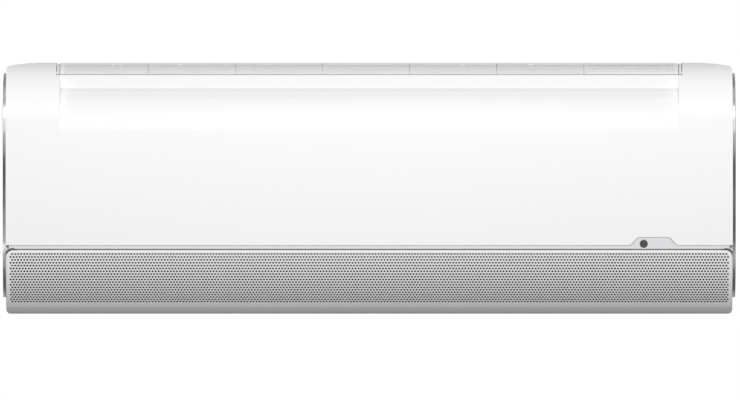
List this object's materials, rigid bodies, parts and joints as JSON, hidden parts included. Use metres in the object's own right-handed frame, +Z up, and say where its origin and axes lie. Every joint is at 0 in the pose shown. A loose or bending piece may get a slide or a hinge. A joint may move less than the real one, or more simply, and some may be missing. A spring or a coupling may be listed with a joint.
{
  "type": "mini split indoor unit",
  "caption": "Long wall-mounted air conditioner with a bulged swing-up front panel, top filter, and a curved perforated flap over a full-width outlet.",
  "frame": {"origin": "middle of the wall face of the unit: the back of the mounting plate, on the centre line", "axes": "+X to the right as seen by a person in the room, +Y into the wall, +Z up"},
  "size_m": [0.94, 0.1929, 0.322],
  "materials": {
    "panel_white": "gloss white",
    "casing_white": "white, satin gloss",
    "trim_silver": "brushed bright strip",
    "flap_white": "white, perforated",
    "strip_white": "pale satin",
    "lens_dark": "dark, polished",
    "grille_white": "white, matte",
    "filter_plastic": "pale grey",
    "filter_mesh": "fine nylon mesh",
    "chassis_plastic": "off-white, matte",
    "louver_plastic": "white, matte",
    "vane_plastic": "dark grey, matte",
    "wheel_plastic": "black, matte",
    "shaft_steel": "ground",
    "motor_coat": "moulded pale coat",
    "galvanised": "galvanised",
    "fins": "pale blue coated fins",
    "copper": "copper, drawn",
    "nut_brass": "machined",
    "bush_rubber": "black",
    "drain_plastic": "grey, matte",
    "board_green": "circuit board",
    "terminal_black": "black",
    "button_white": "white",
    "stepper_steel": "plated",
    "screw_steel": "zinc plated"
  },
  "bodies": {
    "casing": {"bearing_bush": "bush_rubber", "bearing_holder": "chassis_plastic", "coil_end_plates": "galvanised", "coil_front_lower": "fins", "coil_front_upper": "fins", "coil_rear": "fins", "coil_tubes": "copper", "display_board": "board_green", "display_strip": "strip_white", "drain_pipe": "drain_plastic", "electrical_box": "galvanised", "electrical_cover": "galvanised", "fan_motor": "motor_coat", "flap_motor": "stepper_steel", "flare_nuts": "nut_brass", "frame_screws": "screw_steel", "front_drain_pan": "chassis_plastic", "front_frame": "casing_white", "gas_pipe": "copper", "inlet_grille": "grille_white", "liquid_pipe": "copper", "louver_motor": "stepper_steel", "main_board": "board_green", "motor_clamp": "galvanised", "mounting_plate": "galvanised", "pipe_clamp": "chassis_plastic", "rear_chassis": "chassis_plastic", "receiver_lens": "lens_dark", "screw_covers": "casing_white", "side_trim_lower_left": "trim_silver", "side_trim_lower_right": "trim_silver", "side_trim_upper_left": "trim_silver", "side_trim_upper_right": "trim_silver", "stabiliser": "chassis_plastic", "terminal_block": "terminal_black", "vane_motor_left": "stepper_steel", "vane_motor_right": "stepper_steel"},
    "front_panel": {"front_panel": "panel_white"},
    "flap": {"flap": "flap_white", "flap_frame": "louver_plastic", "flap_pins": "shaft_steel"},
    "inner_louver": {"inner_louver": "louver_plastic"},
    "filter": {"filter_frame": "filter_plastic", "filter_net": "filter_mesh"},
    "fan": {"fan_wheel": "wheel_plastic", "motor_shaft": "shaft_steel"},
    "reset_button": {"reset_button": "button_white"},
    "tie_bar_left": {"tie_bar_left": "vane_plastic"},
    "tie_bar_right": {"tie_bar_right": "vane_plastic"},
    "vane_left_1": {"vane_left_1": "vane_plastic"},
    "vane_left_2": {"vane_left_2": "vane_plastic"},
    "vane_left_3": {"vane_left_3": "vane_plastic"},
    "vane_left_4": {"vane_left_4": "vane_plastic"},
    "vane_left_5": {"vane_left_5": "vane_plastic"},
    "vane_right_1": {"vane_right_1": "vane_plastic"},
    "vane_right_2": {"vane_right_2": "vane_plastic"},
    "vane_right_3": {"vane_right_3": "vane_plastic"},
    "vane_right_4": {"vane_right_4": "vane_plastic"},
    "vane_right_5": {"vane_right_5": "vane_plastic"}
  },
  "joints": [
    {"name": "panel_swing", "type": "hinge", "parent": "casing", "child": "front_panel", "pos_m": [0, -0.118, 0.155], "axis": [-1, 0, 0], "range_deg": [0, 60]},
    {"name": "flap_swing", "type": "hinge", "parent": "casing", "child": "flap", "pos_m": [0, -0.133, -0.15], "axis": [1, 0, 0], "range_deg": [0, 75]},
    {"name": "louver_swing", "type": "hinge", "parent": "casing", "child": "inner_louver", "pos_m": [0, -0.14933, -0.11848], "axis": [1, 0, 0], "range_deg": [0, 80]},
    {"name": "fan_spin", "type": "hinge", "parent": "casing", "child": "fan", "pos_m": [0, -0.092, -0.028], "axis": [1, 0, 0], "continuous": true},
    {"name": "filter_slide", "type": "slide", "parent": "casing", "child": "filter", "axis": [0, -1, 0], "range_m": [0, 0.1]},
    {"name": "button_press", "type": "slide", "parent": "casing", "child": "reset_button", "axis": [0, 1, 0], "range_m": [0, 0.002], "stiffness_N_per_m": 300, "springref_m": -0.002},
    {"name": "vane_left_1_turn", "type": "hinge", "parent": "casing", "child": "vane_left_1", "pos_m": [-0.38175, -0.14391, -0.06944], "axis": [0, -0.5736, 0.8192], "range_deg": [-30, 30]},
    {"name": "vane_left_2_turn", "type": "hinge", "parent": "casing", "child": "vane_left_2", "pos_m": [-0.30525, -0.14391, -0.06944], "axis": [0, -0.5736, 0.8192], "range_deg": [-30, 30]},
    {"name": "vane_left_3_turn", "type": "hinge", "parent": "casing", "child": "vane_left_3", "pos_m": [-0.22875, -0.14391, -0.06944], "axis": [0, -0.5736, 0.8192], "range_deg": [-30, 30]},
    {"name": "vane_left_4_turn", "type": "hinge", "parent": "casing", "child": "vane_left_4", "pos_m": [-0.15225, -0.14391, -0.06944], "axis": [0, -0.5736, 0.8192], "range_deg": [-30, 30]},
    {"name": "vane_left_5_turn", "type": "hinge", "parent": "casing", "child": "vane_left_5", "pos_m": [-0.07575, -0.14391, -0.06944], "axis": [0, -0.5736, 0.8192], "range_deg": [-30, 30]},
    {"name": "vane_right_1_turn", "type": "hinge", "parent": "casing", "child": "vane_right_1", "pos_m": [0.00075, -0.14391, -0.06944], "axis": [0, -0.5736, 0.8192], "range_deg": [-30, 30]},
    {"name": "vane_right_2_turn", "type": "hinge", "parent": "casing", "child": "vane_right_2", "pos_m": [0.07725, -0.14391, -0.06944], "axis": [0, -0.5736, 0.8192], "range_deg": [-30, 30]},
    {"name": "vane_right_3_turn", "type": "hinge", "parent": "casing", "child": "vane_right_3", "pos_m": [0.15375, -0.14391, -0.06944], "axis": [0, -0.5736, 0.8192], "range_deg": [-30, 30]},
    {"name": "vane_right_4_turn", "type": "hinge", "parent": "casing", "child": "vane_right_4", "pos_m": [0.23025, -0.14391, -0.06944], "axis": [0, -0.5736, 0.8192], "range_deg": [-30, 30]},
    {"name": "vane_right_5_turn", "type": "hinge", "parent": "casing", "child": "vane_right_5", "pos_m": [0.30675, -0.14391, -0.06944], "axis": [0, -0.5736, 0.8192], "range_deg": [-30, 30]},
    {"name": "tie_bar_left_slide", "type": "slide", "parent": "casing", "child": "tie_bar_left", "axis": [-1, 0, 0], "range_m": [-0.0065, 0.0065]},
    {"name": "tie_bar_right_slide", "type": "slide", "parent": "casing", "child": "tie_bar_right", "axis": [-1, 0, 0], "range_m": [-0.0065, 0.0065]}
  ],
  "couplings": [
    {"joint": "vane_left_2_turn", "follows": "vane_left_1_turn", "ratio": 1},
    {"joint": "vane_left_3_turn", "follows": "vane_left_1_turn", "ratio": 1},
    {"joint": "vane_left_4_turn", "follows": "vane_left_1_turn", "ratio": 1},
    {"joint": "vane_left_5_turn", "follows": "vane_left_1_turn", "ratio": 1},
    {"joint": "vane_right_1_turn", "follows": "vane_right_5_turn", "ratio": 1},
    {"joint": "vane_right_2_turn", "follows": "vane_right_5_turn", "ratio": 1},
    {"joint": "vane_right_3_turn", "follows": "vane_right_5_turn", "ratio": 1},
    {"joint": "vane_right_4_turn", "follows": "vane_right_5_turn", "ratio": 1},
    {"joint": "tie_bar_left_slide", "follows": "vane_left_1_turn", "m_per_rad": 0.012},
    {"joint": "tie_bar_right_slide", "follows": "vane_right_5_turn", "m_per_rad": 0.012}
  ]
}
